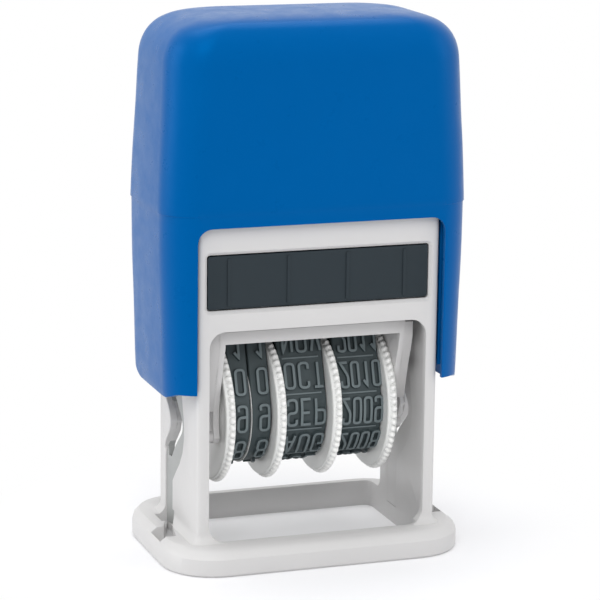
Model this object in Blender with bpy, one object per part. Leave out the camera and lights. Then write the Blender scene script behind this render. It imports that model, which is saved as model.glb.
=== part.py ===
"""Self-inking mini date stamp, modelled in metres with +Z up and the front at -Y.

The origin is the middle of the footprint at the underside of the base. The
piece stands in its rest pose: cap up, type face turned up against the pad.
"""
import math

import bmesh
import bpy
from mathutils import Vector

MM = 0.001

# Driving dimensions, all in millimetres --------------------------------------

# Base flange and frame
FLANGE_HX, FLANGE_HY, FLANGE_R, FLANGE_H = 21.57, 14.17, 7.35, 3.8
WALL_OUT, WALL_IN = 17.4, 16.3          # side walls, outer and inner faces
FRAME_FRONT, FRAME_BACK = -9.96, 8.24   # front face and rear edge of the walls
PLATE_BACK = -8.8                       # back of the front plate
FRAME_TOP, ROOF_TOP, ROOF_UNDER = 48.3, 45.2, 44.2
OPEN_HX, OPEN_TOP, OPEN_R = 15.7, 33.3, 2.2      # lower front opening
WINDOW_HX, WINDOW_Z0, WINDOW_Z1 = 16.0, 36.2, 43.9
PRINT_BACK = 12.4                       # rear edge of the print opening
LEDGE_Z0, LEDGE_Z1, LEDGE_X = 36.0, 37.1, 14.6   # rails the tray slides on
CHAMBER_BACK = 7.2                      # rear end of the tray chamber
SPRING_Y = -0.5
STUB_R, STUB_H = 3.1, 2.2               # spring locating stubs
SLOT_FOOT = 2.6                         # lower end of the side slots

# Cap
CAP_TOP = 75.6
CAP_OPEN_HX, CAP_OPEN_TOP = 17.75, 47.8
CAP_IN_HX, CAP_IN_HY = 19.7, 10.35
CAP_REAR_TOP = 46.8                     # top of the rear opening, over the turned wheels
STROKE = 20.0

# Carriage: pivot, flip pin, wheel axle and type face
PIVOT_Y, PIVOT_Z, PIVOT_R = 3.5, 28.45, 0.9
FLIP_RADIUS, FLIP_R = 4.95, 0.75
AXLE_Y, AXLE_Z, AXLE_R = 3.4, 19.4, 1.5
CHEEK_LEFT = (-13.3, -12.5)
CHEEK_RIGHT = (12.95, 13.75)
RAIL_X, RAIL_T = 14.9, 1.1              # slanted front rail of each cheek
ARM_IN, ARM_OUT = 15.2, 16.0            # hanger arms of the cap yoke
ARM_Y0, ARM_Y1 = 5.3, 8.3
YOKE_Z0, YOKE_Z1 = 69.8, 71.2

# Thumbwheels and date bands
DISC_R, DISC_T, KNURLS = 10.6, 1.1, 64
HUB_R, HUB_GAP = 7.7, 0.1
DISC_X = (-12.22, -4.81, 3.36, 11.54)   # left face of each disc
BAND_X = ((-10.87, -7.98), (-7.84, -5.05), (-3.46, 3.11), (4.71, 11.29))
BAND_CHARS = (1, 1, 2, 4)
BAND_INNER, BAND_T, TYPE_H = 8.0, 0.9, 0.5
BAND_ROWS = 13
NOSE_Y, NOSE_Z, NOSE_HALF, NOSE_R = 4.15, 34.6, 2.1, 0.8
TYPE_HEIGHT = 3.55

# Ink tray
TRAY_TRAVEL = 19.6
TRAY_BODY_HX, TRAY_WING_HX = 14.2, 15.7
TRAY_BACK, WING_BACK = 6.9, 4.6

# Return spring
WIRE_R, COIL_R, COIL_TURNS = 0.3, 4.2, 5.5


# Small modelling helpers ------------------------------------------------------

def clear_scene():
    """Remove every object already in the file."""
    for obj in list(bpy.data.objects):
        bpy.data.objects.remove(obj, do_unlink=True)


def srgb(hex_text):
    """Linear colour of an sRGB hex value."""
    out = []
    for k in (0, 2, 4):
        c = int(hex_text[k:k + 2], 16) / 255.0
        out.append(c / 12.92 if c <= 0.04045 else ((c + 0.055) / 1.055) ** 2.4)
    return (*out, 1.0)


def make_material(name, hex_text, roughness, metallic=0.0):
    """A Principled material."""
    mat = bpy.data.materials.new(name)
    mat.use_nodes = True
    bsdf = mat.node_tree.nodes["Principled BSDF"]
    bsdf.inputs["Base Color"].default_value = srgb(hex_text)
    bsdf.inputs["Roughness"].default_value = roughness
    bsdf.inputs["Metallic"].default_value = metallic
    return mat


def make_empty(name, x, y, z):
    """An empty on a joint's axis, given in millimetres."""
    empty = bpy.data.objects.new(name, None)
    empty.location = Vector((x, y, z)) * MM
    empty.empty_display_size = 0.005
    bpy.context.collection.objects.link(empty)
    return empty


def finish(bm, name, mat=None, origin=(0.0, 0.0, 0.0), parent=None, smooth=None):
    """Turn a bmesh drawn in millimetres into an object whose origin is `origin`."""
    bmesh.ops.recalc_face_normals(bm, faces=bm.faces)
    shift = Vector(origin)
    for v in bm.verts:
        v.co = (v.co - shift) * MM
    mesh = bpy.data.meshes.new(name)
    bm.to_mesh(mesh)
    bm.free()
    obj = bpy.data.objects.new(name, mesh)
    bpy.context.collection.objects.link(obj)
    obj.location = shift * MM
    if mat is not None:
        mesh.materials.append(mat)
    if smooth is not None:
        mesh.shade_smooth()
        mesh.set_sharp_from_angle(angle=math.radians(smooth))
    if parent is not None:
        obj.parent = parent
        obj.location = shift * MM - parent.location
    return obj


def loft(loops):
    """Closed body through loops of equal length, with flat ends."""
    bm = bmesh.new()
    rows = [[bm.verts.new(p) for p in loop] for loop in loops]
    count = len(rows[0])
    for low, high in zip(rows, rows[1:]):
        for i in range(count):
            j = (i + 1) % count
            bm.faces.new((low[i], low[j], high[j], high[i]))
    bm.faces.new(list(reversed(rows[0])))
    bm.faces.new(rows[-1])
    return bm


def rounded_rect(a0, a1, b0, b1, r, steps=5):
    """Corner-rounded rectangle as (a, b) points, counter-clockwise."""
    corners = ((a1 - r, b1 - r, 0), (a0 + r, b1 - r, 90),
               (a0 + r, b0 + r, 180), (a1 - r, b0 + r, 270))
    points = []
    for ca, cb, start in corners:
        for k in range(steps + 1):
            t = math.radians(start + 90.0 * k / steps)
            points.append((ca + r * math.cos(t), cb + r * math.sin(t)))
    return points


def prism(points, axis, lo, hi):
    """Extrude a flat outline along X (points are y, z), Y (x, z) or Z (x, y)."""
    place = {"X": lambda p, d: (d, p[0], p[1]),
             "Y": lambda p, d: (p[0], d, p[1]),
             "Z": lambda p, d: (p[0], p[1], d)}[axis]
    return loft([[place(p, d) for p in points] for d in (lo, hi)])


def box(x0, x1, y0, y1, z0, z1):
    """Plain block."""
    return prism([(x0, y0), (x1, y0), (x1, y1), (x0, y1)], "Z", z0, z1)


def circle(cy, cz, r, count=32):
    """Circle of (y, z) points."""
    return [(cy + r * math.cos(2 * math.pi * k / count),
             cz + r * math.sin(2 * math.pi * k / count)) for k in range(count)]


def cylinder_x(x0, x1, cy, cz, r, count=32):
    """Round bar along X."""
    return prism(circle(cy, cz, r, count), "X", x0, x1)


def combine(target, bm, operation, name):
    """Cut `bm` from the target, or join it on, with a Boolean modifier."""
    tool = finish(bm, name)
    tool.hide_render = True
    tool.hide_viewport = False
    tool.display_type = "WIRE"
    mod = target.modifiers.new(name, "BOOLEAN")
    mod.operation = operation
    mod.solver = "EXACT"
    mod.object = tool
    return tool


def cut(target, bm, name):
    """Remove a shape from the target."""
    return combine(target, bm, "DIFFERENCE", "cutter_" + name)


def join(target, bm, name):
    """Add a shape to the target."""
    return combine(target, bm, "UNION", "guide_" + name)


# Frame ------------------------------------------------------------------------

def flange_body():
    """Oval foot: straight sides, a soft front edge and rounded corners."""
    hx, hy, r = FLANGE_HX, FLANGE_HY, FLANGE_R
    levels = ((0.0, -0.35, -0.35, -0.35), (0.35, 0.0, 0.0, 0.0), (2.5, 0.0, 0.0, 0.0),
              (3.2, -0.3, -0.5, -0.15), (FLANGE_H, -1.1, -1.55, -0.6))
    loops = []
    for z, dx, front, back in levels:
        outline = rounded_rect(-hx - dx, hx + dx, -hy - front, hy + back, r + dx, 7)
        loops.append([(x, y, z) for x, y in outline])
    return loft(loops)


def slot_outline():
    """Curved slot in a side wall that steers the flip pin, as (y, z) points."""
    front = ((1.75, SLOT_FOOT), (1.75, 9.6), (0.1, 11.3), (-1.6, 12.9), (-3.05, 14.9),
             (-3.7, 17.0), (-3.7, 19.0), (-3.2, 21.0), (-2.75, 22.6), (-1.9, 24.6))
    seat = ((-0.7, 25.7), (0.9, 26.1), (3.5, 26.2), (4.8, 25.5), (5.2, 24.3), (4.7, 22.9))
    bump = ((3.1, 21.4), (1.45, 20.0), (0.8, 18.45), (1.45, 16.9), (2.9, 15.45), (4.6, 13.9))
    foot = ((5.2, 12.4), (5.2, SLOT_FOOT))
    return list(front + seat + bump + foot)


def pocket_outline(side):
    """Recess in the foot outside a wall, which runs into the lower end of the slot."""
    points = ((21.3, -5.4), (19.05, -5.5), (18.2, -1.0), (WALL_OUT - 0.3, 1.75),
              (WALL_OUT - 0.3, 5.2), (19.45, -0.8), (21.3, -0.9))
    return [(side * x, y) for x, y in points]


def build_frame(mat):
    """Flange, side walls, front plate with its window, and roof: one moulding."""
    body = finish(flange_body(), "base_frame", mat)
    tower = []
    for z, inset in ((2.0, -0.85), (FLANGE_H + 0.05, -0.85), (FLANGE_H + 0.3, -0.45),
                     (FLANGE_H + 0.75, -0.12), (FLANGE_H + 1.2, 0.0),
                     (FRAME_TOP - 0.5, 0.0), (FRAME_TOP, 0.5)):
        outline = rounded_rect(-WALL_OUT + inset, WALL_OUT - inset,
                               FRAME_FRONT + inset, FRAME_BACK - inset,
                               0.55 + max(-inset, 0.0), 3)
        tower.append([(x, y, z) for x, y in outline])
    join(body, loft(tower), "tower")

    print_hole = rounded_rect(-WALL_IN, WALL_IN, FRAME_FRONT, PRINT_BACK, 1.2, 3)
    cut(body, prism(print_hole, "Z", -1.0, FLANGE_H + 0.4), "print_hole")
    cut(body, box(-WALL_IN, WALL_IN, PLATE_BACK, 20.0, FLANGE_H + 0.1, LEDGE_Z0), "lower_bay")
    cut(body, box(-LEDGE_X, LEDGE_X, PLATE_BACK, 20.0, LEDGE_Z0 - 0.5, LEDGE_Z1 + 0.5),
        "between_rails")
    cut(body, box(-WALL_IN, WALL_IN, PLATE_BACK, CHAMBER_BACK, LEDGE_Z1, ROOF_UNDER),
        "tray_chamber")
    cut(body, box(-WALL_IN, WALL_IN, PLATE_BACK, 20.0, ROOF_TOP, FRAME_TOP + 2.0), "above_roof")
    for side in (-1, 1):
        x0, x1 = sorted((side * (ARM_IN - 0.4), side * WALL_IN))
        cut(body, box(x0, x1, ARM_Y0 - 0.4, 20.0, LEDGE_Z0 - 1.0, ROOF_TOP + 1.0),
            "arm_way_" + ("left" if side < 0 else "right"))
        cut(body, prism(pocket_outline(side), "Z", SLOT_FOOT - 1.0, FLANGE_H + 1.6),
            "foot_pocket_" + ("left" if side < 0 else "right"))

    opening = rounded_rect(-OPEN_HX, OPEN_HX, FLANGE_H, OPEN_TOP, OPEN_R, 6)
    cut(body, prism(opening, "Y", FRAME_FRONT - 1.5, PLATE_BACK + 0.2), "front_opening")
    window = rounded_rect(-WINDOW_HX, WINDOW_HX, WINDOW_Z0, WINDOW_Z1, 0.4, 3)
    cut(body, prism(window, "Y", FRAME_FRONT - 0.5, PLATE_BACK + 0.2), "window")
    bevel = []
    for y, grow in ((FRAME_FRONT - 0.2, 0.62), (FRAME_FRONT + 0.5, -0.02)):
        outline = rounded_rect(-WINDOW_HX - grow, WINDOW_HX + grow,
                               WINDOW_Z0 - grow, WINDOW_Z1 + grow, 0.4 + max(grow, 0.0), 3)
        bevel.append([(x, y, z) for x, z in outline])
    cut(body, loft(bevel), "window_bevel")
    cut(body, prism(slot_outline(), "X", -19.0, 19.0), "cam_slots")
    stub = [(STUB_R * math.cos(t), SPRING_Y + STUB_R * math.sin(t))
            for t in [2 * math.pi * k / 32 for k in range(32)]]
    join(body, prism(stub, "Z", ROOF_TOP - 0.5, ROOF_TOP + STUB_H), "spring_stub")
    return body


# Cap --------------------------------------------------------------------------

CAP_OUTER = (  # z, half width, half depth, corner radius
    (24.1, 20.7, 10.7, 4.5), (24.5, 21.1, 11.1, 4.8), (25.2, 21.28, 11.25, 5.0),
    (35.0, 21.55, 11.25, 5.0), (42.0, 21.8, 11.25, 5.0), (49.3, 21.85, 11.3, 5.0),
    (49.6, 22.0, 11.3, 5.0), (56.0, 21.75, 11.25, 5.2), (62.0, 21.4, 11.2, 5.4),
    (68.0, 21.15, 11.05, 5.6), (70.5, 20.9, 10.9, 5.6), (72.3, 20.2, 10.5, 5.4),
    (73.6, 19.1, 9.9, 5.0), (74.5, 17.6, 9.2, 4.6), (75.1, 15.5, 8.2, 4.2),
    (75.45, 12.5, 6.5, 3.6), (CAP_TOP, 8.0, 3.5, 2.4))
CAP_INNER = (
    (20.0, CAP_IN_HX, CAP_IN_HY, 2.2), (62.0, 19.6, CAP_IN_HY, 2.6), (69.3, 19.3, 10.3, 2.8),
    (71.6, 18.7, 9.5, 3.2), (73.0, 17.2, 8.2, 3.2), (73.7, 15.0, 6.4, 3.0))


def cap_loops(table):
    """Horizontal loops of the cap from a table of levels."""
    loops = []
    for z, hx, hy, r in table:
        loops.append([(x, y, z) for x, y in rounded_rect(-hx, hx, -hy, hy, r, 6)])
    return loops


def cap_foot_outline():
    """What is trimmed off below the legs, as (y, z): level in front, swept up behind."""
    return [(-14.0, 20.0), (14.0, 20.0), (14.0, 35.5), (9.6, 34.2), (8.6, 31.2), (7.9, 28.6),
            (7.2, 26.9), (6.1, 25.5), (4.4, 24.5), (2.4, 24.1), (-6.0, 24.1), (-7.8, 24.35),
            (-9.4, 24.95), (-14.0, 25.05)]


def build_cap(mat):
    """Outer cap: a thin shell, open below, in front and behind."""
    cap = finish(loft(cap_loops(CAP_OUTER)), "cap_shell", mat, (0, 0, CAP_TOP), smooth=35)
    cut(cap, loft(cap_loops(CAP_INNER)), "cap_cavity")
    cut(cap, prism(cap_foot_outline(), "X", -24.0, 24.0), "cap_foot")
    front = rounded_rect(-CAP_OPEN_HX, CAP_OPEN_HX, 10.0, CAP_OPEN_TOP, 2.0, 4)
    cut(cap, prism(front, "Y", -14.0, -9.0), "cap_front")
    rear = rounded_rect(-16.0, 16.0, 10.0, CAP_REAR_TOP, 3.0, 4)
    cut(cap, prism(rear, "Y", 9.0, 14.0), "cap_rear")
    for side, tag in ((-1, "left"), (1, "right")):
        x0, x1 = sorted((side * (WALL_OUT + 0.35), side * (CAP_IN_HX + 0.6)))
        join(cap, box(x0, x1, -9.3, -8.0, 26.5, 47.0), "rib_front_" + tag)
        join(cap, box(x0, x1, 5.9, 7.2, 29.5, 47.0), "rib_rear_" + tag)
        boss = [(side * 10.0 + 2.4 * math.cos(t), 2.0 + 2.4 * math.sin(t))
                for t in [2 * math.pi * k / 24 for k in range(24)]]
        join(cap, prism(boss, "Z", YOKE_Z1, 74.2), "boss_" + tag)
    return cap


def build_yoke(mat):
    """Bridge under the cap roof with two arms that carry the pivot pins."""
    plate = rounded_rect(-ARM_OUT, ARM_OUT, -4.5, ARM_Y1, 0.8, 3)
    yoke = finish(prism(plate, "Z", YOKE_Z0, YOKE_Z1), "cap_yoke", mat, (0, 0, CAP_TOP))
    for side, tag in ((-1, "left"), (1, "right")):
        x0, x1 = sorted((side * ARM_IN, side * ARM_OUT))
        outline = [(ARM_Y1, YOKE_Z0 + 0.5), (ARM_Y0, YOKE_Z0 + 0.5), (ARM_Y0, 31.6)]
        boss = [(PIVOT_Y + 2.1 * math.cos(math.radians(a)), PIVOT_Z + 2.1 * math.sin(math.radians(a)))
                for a in range(60, 301, 20)]
        outline += boss + [(ARM_Y0 + 0.3, PIVOT_Z - 1.9), (ARM_Y1 - 0.8, PIVOT_Z - 1.9),
                           (ARM_Y1, PIVOT_Z - 1.1)]
        join(yoke, prism(outline, "X", x0, x1), "arm_" + tag)
        cut(yoke, cylinder_x(x0 - 1.0, x1 + 1.0, PIVOT_Y, PIVOT_Z, PIVOT_R + 0.02),
            "arm_bore_" + tag)
    stub = [(STUB_R * math.cos(t), SPRING_Y + STUB_R * math.sin(t))
            for t in [2 * math.pi * k / 32 for k in range(32)]]
    join(yoke, prism(stub, "Z", YOKE_Z0 - 1.6, YOKE_Z0 + 0.5), "yoke_stub")
    return yoke


def build_pivot_pins(mat, parent):
    """Two short steel pins that hang the carriage from the yoke."""
    spans = (("pivot_pin_left", -ARM_OUT, CHEEK_LEFT[1] - 0.02),
             ("pivot_pin_right", CHEEK_RIGHT[0] + 0.02, ARM_OUT))
    for name, x0, x1 in spans:
        finish(cylinder_x(x0, x1, PIVOT_Y, PIVOT_Z, PIVOT_R), name, mat,
               ((x0 + x1) / 2, PIVOT_Y, PIVOT_Z), parent, smooth=40)


def helix_points():
    """Centre line of the return spring with a closer turn at each end."""
    z0, z1 = ROOF_TOP + WIRE_R + 0.05, YOKE_Z0 - WIRE_R - 0.05
    steps = int(COIL_TURNS * 10)
    end_pitch = 2 * WIRE_R + 0.55
    middle = (z1 - z0 - 2 * end_pitch) / (COIL_TURNS - 2)
    points = []
    for k in range(steps + 1):
        turn = k / 10.0
        z = z0 + end_pitch * min(turn, 1.0)
        z += middle * min(max(turn - 1.0, 0.0), COIL_TURNS - 2)
        z += end_pitch * max(turn - (COIL_TURNS - 1), 0.0)
        a = 2 * math.pi * turn
        points.append(Vector((COIL_R * math.cos(a), SPRING_Y + COIL_R * math.sin(a), z)))
    return points


def least_gap(points):
    """Smallest clear distance between turns that lie a third of a turn or more apart."""
    best = 1e9
    for i, p in enumerate(points):
        for q in points[i + 4:]:
            best = min(best, (p - q).length)
    return best - 2 * WIRE_R


def build_spring(mat):
    """Return spring: one unbroken wire swept round its centre line."""
    points = helix_points()
    print("spring least gap mm", round(least_gap(points), 3))
    loops = []
    for i, p in enumerate(points):
        ahead = points[min(i + 1, len(points) - 1)] - points[max(i - 1, 0)]
        ahead.normalize()
        out = Vector((p.x, p.y - SPRING_Y, 0.0)).normalized()
        up = ahead.cross(out).normalized()
        out = up.cross(ahead)
        loops.append([p + WIRE_R * (math.cos(a) * out + math.sin(a) * up)
                      for a in [2 * math.pi * k / 8 for k in range(8)]])
    return finish(loft(loops), "return_spring", mat, (0, SPRING_Y, ROOF_TOP), smooth=60)


# Ink tray ---------------------------------------------------------------------

def build_tray(mat, pad_mat, parent):
    """Pull-out ink tray with a ribbed front panel, and the pad it holds."""
    body = rounded_rect(-TRAY_BODY_HX, TRAY_BODY_HX, -9.2, TRAY_BACK, 0.5, 2)
    tray = finish(prism(body, "Z", 37.4, 43.2), "ink_tray", mat, (0, FRAME_FRONT, 40.0), parent)
    join(tray, box(-TRAY_WING_HX, TRAY_WING_HX, -9.1, WING_BACK, 37.4, 38.4), "tray_wings")
    panel = rounded_rect(-15.85, 15.85, 36.4, 43.7, 0.3, 2)
    join(tray, prism(panel, "Y", -9.5, -8.9), "tray_panel")
    for x in (-12.9, -4.4, 4.1, 12.4):
        join(tray, box(x - 0.22, x + 0.22, -9.68, -9.4, 36.8, 43.3), "tray_rib_%d" % round(x))
    cut(tray, box(-13.3, 13.3, -5.1, 6.3, 36.0, 40.05), "pad_recess")
    pad = prism(rounded_rect(-13.0, 13.0, -4.8, 6.0, 0.6, 3), "Z", 37.1, 40.0)
    finish(pad, "ink_pad", pad_mat, (0, FRAME_FRONT, 40.0), parent)
    return tray


# Carriage ---------------------------------------------------------------------

FRONT_EDGE = ((-4.1, 18.8), (-4.15, 20.9), (-4.8, 23.4), (-5.7, 26.4), (-6.5, 28.7),
              (-7.0, 30.4), (-7.0, 32.5))   # front of the cheeks, upwards, as (y, z)


def rail_outline():
    """Outward flange that stiffens the front edge of a cheek, as (y, z) points."""
    step = 0.08
    face = [(y + step, z - 2 * step) for y, z in FRONT_EDGE[1:]]
    inner = [(y + RAIL_T, z) for y, z in face]
    return face + inner[::-1]


def cheek_outline():
    """Side plate of the carriage, as (y, z) points."""
    tail = [(AXLE_Y + 3.3 * math.cos(math.radians(a)), AXLE_Z + 3.3 * math.sin(math.radians(a)))
            for a in range(10, -91, -20)]
    tip = ((0.4, 15.9), (-2.9, 15.9), (-4.0, 16.2), (-4.5, 17.0), (-4.3, 17.9))
    front = (*FRONT_EDGE, (-6.6, 32.9), (-5.0, 32.9), (-4.5, 33.8), (1.0, 33.8), (1.3, 35.2))
    rear = ((7.0, 35.2), (7.0, 28.0), (7.3, 23.0))
    return list(tip + front + rear) + tail


def build_carriage(mat, pivot):
    """Two cheeks tied by a front bar; each cheek has a flip pin and a small peg."""
    frame = finish(prism(cheek_outline(), "X", *CHEEK_LEFT), "carriage_frame", mat,
                   (0, PIVOT_Y, PIVOT_Z), pivot)
    join(frame, prism(cheek_outline(), "X", *CHEEK_RIGHT), "cheek_right")
    bar = [(-7.0, 30.8), (-7.0, 32.5), (-6.6, 32.9), (-5.7, 32.9), (-5.7, 30.8)]
    join(frame, prism(bar, "X", CHEEK_LEFT[0] + 0.3, CHEEK_RIGHT[1] - 0.3), "tie_bar")
    join(frame, prism(rail_outline(), "X", -RAIL_X, CHEEK_LEFT[0] + 0.3), "rail_left")
    join(frame, prism(rail_outline(), "X", CHEEK_RIGHT[1] - 0.3, RAIL_X), "rail_right")
    flip_z = PIVOT_Z - FLIP_RADIUS
    join(frame, cylinder_x(-17.1, CHEEK_LEFT[1] - 0.3, PIVOT_Y, flip_z, FLIP_R, 20), "flip_left")
    join(frame, cylinder_x(CHEEK_RIGHT[0] + 0.3, 17.1, PIVOT_Y, flip_z, FLIP_R, 20), "flip_right")
    join(frame, cylinder_x(-14.0, CHEEK_LEFT[1] - 0.3, -3.5, 17.0, 0.75, 16), "peg_left")
    join(frame, cylinder_x(CHEEK_RIGHT[0] + 0.3, 14.45, -3.5, 17.0, 0.75, 16), "peg_right")
    for x0, x1, tag in ((*CHEEK_LEFT, "left"), (*CHEEK_RIGHT, "right")):
        cut(frame, cylinder_x(x0 - 1.0, x1 + 1.0, PIVOT_Y, PIVOT_Z, PIVOT_R + 0.05),
            "pivot_bore_" + tag)
        cut(frame, cylinder_x(x0 - 1.0, x1 + 1.0, AXLE_Y, AXLE_Z, AXLE_R + 0.05),
            "axle_bore_" + tag)
        cut(frame, box(x0 - 1.0, x1 + 1.0, NOSE_Y - 1.65, NOSE_Y + 1.65, 32.1, 34.1),
            "tenon_hole_" + tag)
    return frame


def build_anvil(mat, pivot):
    """Nose block that the bands run over, keyed into both cheeks by tenons."""
    half, top = NOSE_HALF + NOSE_R - 0.05, NOSE_Z + NOSE_R - 0.05
    section = [(NOSE_Y - half, 30.6), (NOSE_Y + half, 30.6)]
    for cy, start in ((NOSE_Y + NOSE_HALF, 0), (NOSE_Y - NOSE_HALF, 90)):
        for k in range(4):
            a = math.radians(start + 30 * k)
            section.append((cy + (NOSE_R - 0.05) * math.cos(a), NOSE_Z + (NOSE_R - 0.05) * math.sin(a)))
    assert abs(section[5][1] - top) < 1e-6
    x0, x1 = CHEEK_LEFT[1] + 0.05, CHEEK_RIGHT[0] - 0.05
    anvil = finish(prism(section, "X", x0, x1), "type_anvil", mat, (0, PIVOT_Y, PIVOT_Z), pivot)
    tenon = [(NOSE_Y - 1.6, 32.15), (NOSE_Y + 1.6, 32.15), (NOSE_Y + 1.6, 34.05), (NOSE_Y - 1.6, 34.05)]
    join(anvil, prism(tenon, "X", CHEEK_LEFT[0], CHEEK_RIGHT[1]), "tenon")
    return anvil


def build_axle(mat, pivot):
    """Steel wheel axle and the two push-on rings that keep it in the cheeks."""
    x0, x1 = CHEEK_LEFT[0] - 0.75, CHEEK_RIGHT[1] + 0.7
    finish(cylinder_x(x0, x1, AXLE_Y, AXLE_Z, AXLE_R), "wheel_axle", mat,
           (0, AXLE_Y, AXLE_Z), pivot, smooth=40)
    for name, a, b in (("axle_ring_left", x0 + 0.1, CHEEK_LEFT[0] - 0.1),
                       ("axle_ring_right", CHEEK_RIGHT[1] + 0.1, x1 - 0.1)):
        ring = finish(cylinder_x(a, b, AXLE_Y, AXLE_Z, 2.5, 28), name, mat,
                      (0, AXLE_Y, AXLE_Z), pivot, smooth=40)
        cut(ring, cylinder_x(a - 1, b + 1, AXLE_Y, AXLE_Z, AXLE_R + 0.02), name + "_bore")


def ring_points(r, x, count=32):
    """Circle of points round the axle at one x."""
    return [(x, AXLE_Y + r * math.cos(2 * math.pi * k / count),
             AXLE_Z + r * math.sin(2 * math.pi * k / count)) for k in range(count)]


def knurl_points(x):
    """Rim of a thumbwheel: round-topped teeth, two points to a tooth."""
    points = []
    for k in range(2 * KNURLS):
        r = DISC_R if k % 2 == 0 else DISC_R - 0.42
        a = 2 * math.pi * k / (2 * KNURLS)
        points.append((x, AXLE_Y + r * math.cos(a), AXLE_Z + r * math.sin(a)))
    return points


def annulus(bm, inner, outer):
    """Flat ring between loops of different counts, as fans of triangles."""
    n = len(inner)
    per = len(outer) // n
    for i in range(n):
        for k in range(per):
            bm.faces.new((inner[i], outer[i * per + k], outer[(i * per + k + 1) % len(outer)]))
        bm.faces.new((inner[i], outer[((i + 1) * per) % len(outer)], inner[(i + 1) % n]))


def build_wheel(name, disc_x, hub_x0, hub_x1, mat, pivot):
    """Thumbwheel: a knurled disc with a drum that its date band runs on."""
    bm = bmesh.new()
    end = hub_x0 if hub_x0 < disc_x - 0.5 else hub_x1
    face_out = disc_x if end > disc_x + DISC_T else disc_x + DISC_T
    face_in = disc_x + DISC_T if end > disc_x + DISC_T else disc_x
    make = lambda pts: [bm.verts.new(p) for p in pts]
    bore_out, bore_end = make(ring_points(AXLE_R + 0.05, face_out)), make(ring_points(AXLE_R + 0.05, end))
    rim_out, rim_in = make(knurl_points(face_out)), make(knurl_points(face_in))
    hub_in, hub_end = make(ring_points(HUB_R, face_in)), make(ring_points(HUB_R, end))
    annulus(bm, bore_out, rim_out)
    annulus(bm, hub_in, rim_in)
    for a, b in ((rim_out, rim_in), (hub_in, hub_end), (hub_end, bore_end), (bore_end, bore_out)):
        count = len(a)
        for i in range(count):
            bm.faces.new((a[i], a[(i + 1) % count], b[(i + 1) % count], b[i]))
    return finish(bm, name, mat, (face_out, AXLE_Y, AXLE_Z), pivot, smooth=25)


def band_path(offset):
    """Sampler of the closed band line at a distance outside its inner face.

    The line runs from the middle of the nose down the front, round the drum
    and back up behind. It returns the total length and a function of length
    that gives a point and its outward direction as (y, z) pairs.
    """
    r_drum, r_nose = BAND_INNER + offset, NOSE_R + offset
    drum = Vector((AXLE_Y, AXLE_Z))
    pieces = []

    def side(sign):
        corner = Vector((NOSE_Y + sign * NOSE_HALF, NOSE_Z))
        apart = corner - drum
        lean = math.asin((r_drum - r_nose) / apart.length)
        base = math.atan2(apart.y, apart.x)
        a = base + math.pi / 2 - lean if sign < 0 else base - math.pi / 2 + lean
        return corner, a

    front, a_front = side(-1)
    back, a_back = side(1)
    point = lambda c, r, a: c + r * Vector((math.cos(a), math.sin(a)))
    start = Vector((NOSE_Y, NOSE_Z + r_nose))
    top_front = point(front, r_nose, math.pi / 2)
    pieces.append(("line", start, top_front))
    pieces.append(("arc", front, r_nose, math.pi / 2, a_front))
    pieces.append(("line", point(front, r_nose, a_front), point(drum, r_drum, a_front)))
    pieces.append(("arc", drum, r_drum, a_front, a_back + 2 * math.pi))
    pieces.append(("line", point(drum, r_drum, a_back), point(back, r_nose, a_back)))
    pieces.append(("arc", back, r_nose, a_back, math.pi / 2))
    pieces.append(("line", point(back, r_nose, math.pi / 2), start))
    lengths = [(p[2] - p[1]).length if p[0] == "line" else abs(p[4] - p[3]) * p[2] for p in pieces]
    total = sum(lengths)

    def sample(s):
        s = s % total
        for piece, length in zip(pieces, lengths):
            if s <= length or piece is pieces[-1]:
                t = s / length
                if piece[0] == "arc":
                    a = piece[3] + (piece[4] - piece[3]) * t
                    out = Vector((math.cos(a), math.sin(a)))
                    return piece[1] + piece[2] * out, out
                along = (piece[2] - piece[1]).normalized()
                return piece[1] + (piece[2] - piece[1]) * t, Vector((along.y, -along.x))
            s -= length

    return total, sample


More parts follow.
